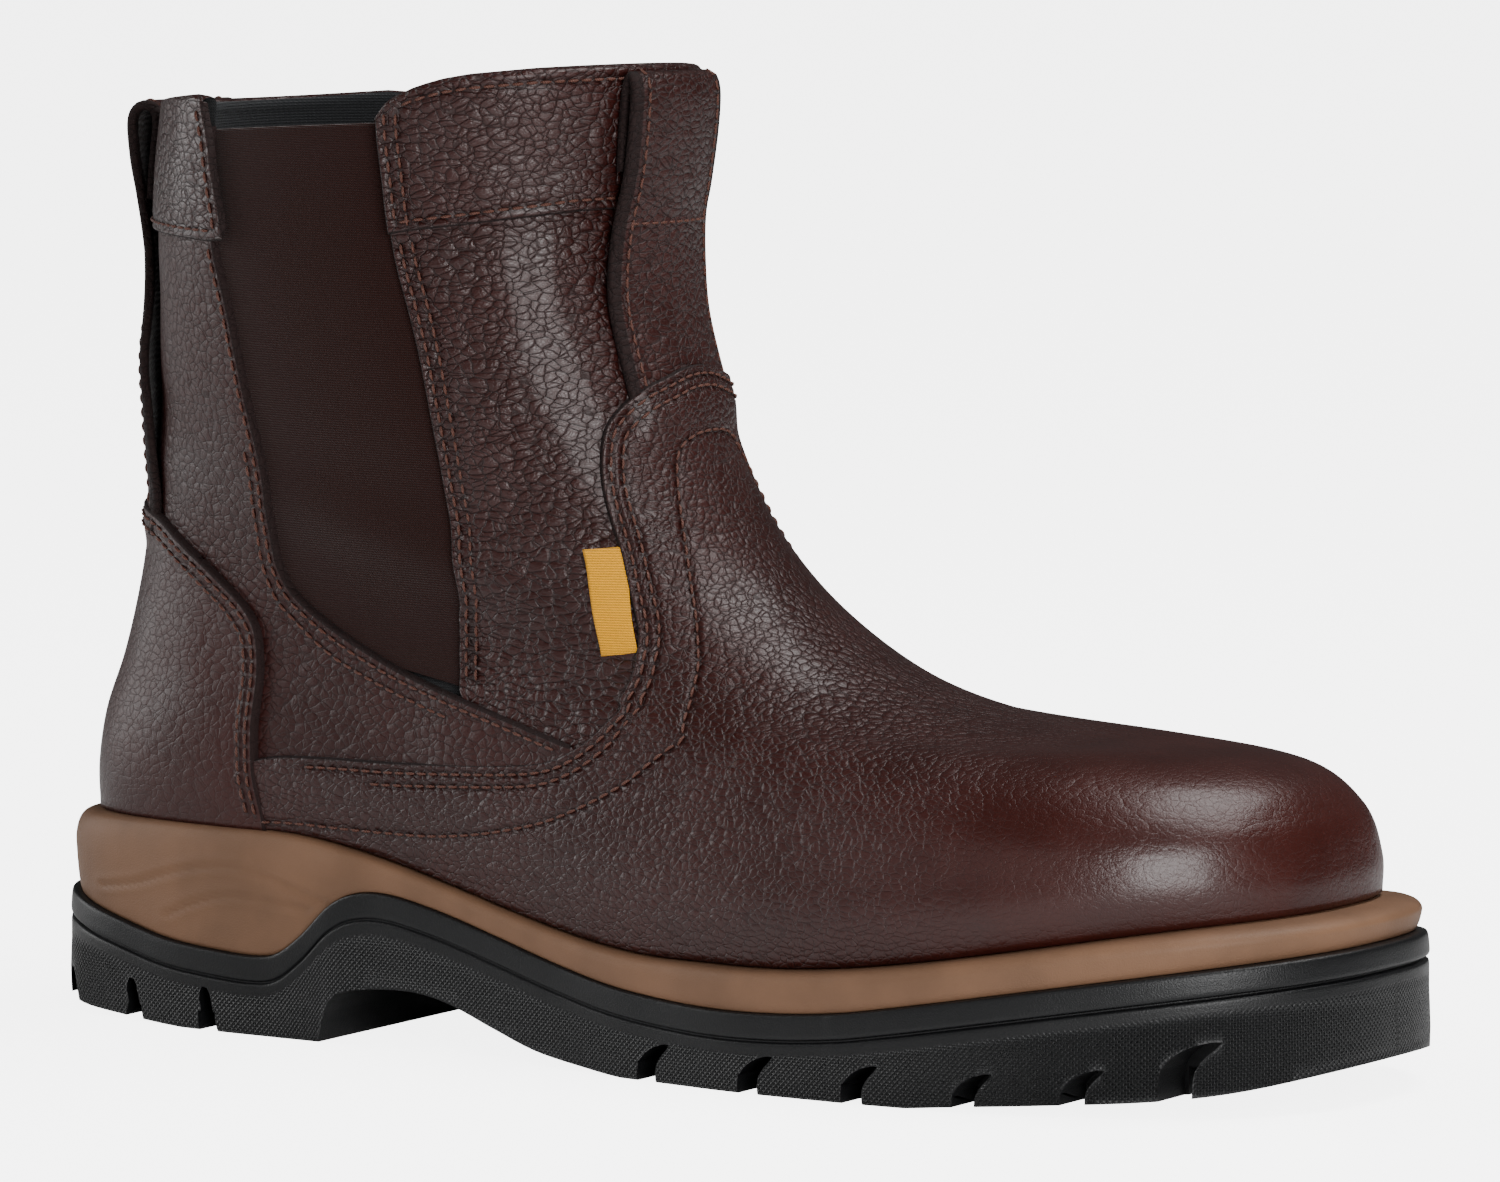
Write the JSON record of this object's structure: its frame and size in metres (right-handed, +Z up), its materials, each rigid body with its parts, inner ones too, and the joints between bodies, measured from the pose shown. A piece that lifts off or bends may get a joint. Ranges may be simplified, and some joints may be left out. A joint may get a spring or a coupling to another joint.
{
  "type": "work boot",
  "caption": "Pull-on leather work boot for the right foot, with a smooth rounded toe, elastic side panels, looped pull straps, a moulded midsole and a lugged rubber sole.",
  "frame": {"origin": "on the floor under the middle of the boot's bounding box", "axes": "+X towards the toe, -Y to the outer side of the right foot, +Z up; the boot stands empty on its sole"},
  "size_m": [0.3022, 0.1098, 0.2002],
  "materials": {
    "leather": "semi-gloss oiled dark red-brown leather with small creases",
    "elastic": "dull dark brown elastic webbing with fine ribs across",
    "label": "flat yellow woven tab, bare",
    "insole": "dull dark grey textile over foam",
    "midsole": "satin tan moulded foam with raised lines",
    "outsole": "matte dark grey rubber"
  },
  "bodies": {
    "root": {"upper": "leather", "gore_lateral": "elastic", "gore_medial": "elastic", "counter": "leather", "collar_band_front": "leather", "collar_band_back": "leather", "pull_strap_front": "leather", "pull_strap_back": "leather", "side_label": "label", "insole": "insole", "midsole": "midsole", "outsole": "outsole"}
  },
  "joints": []
}
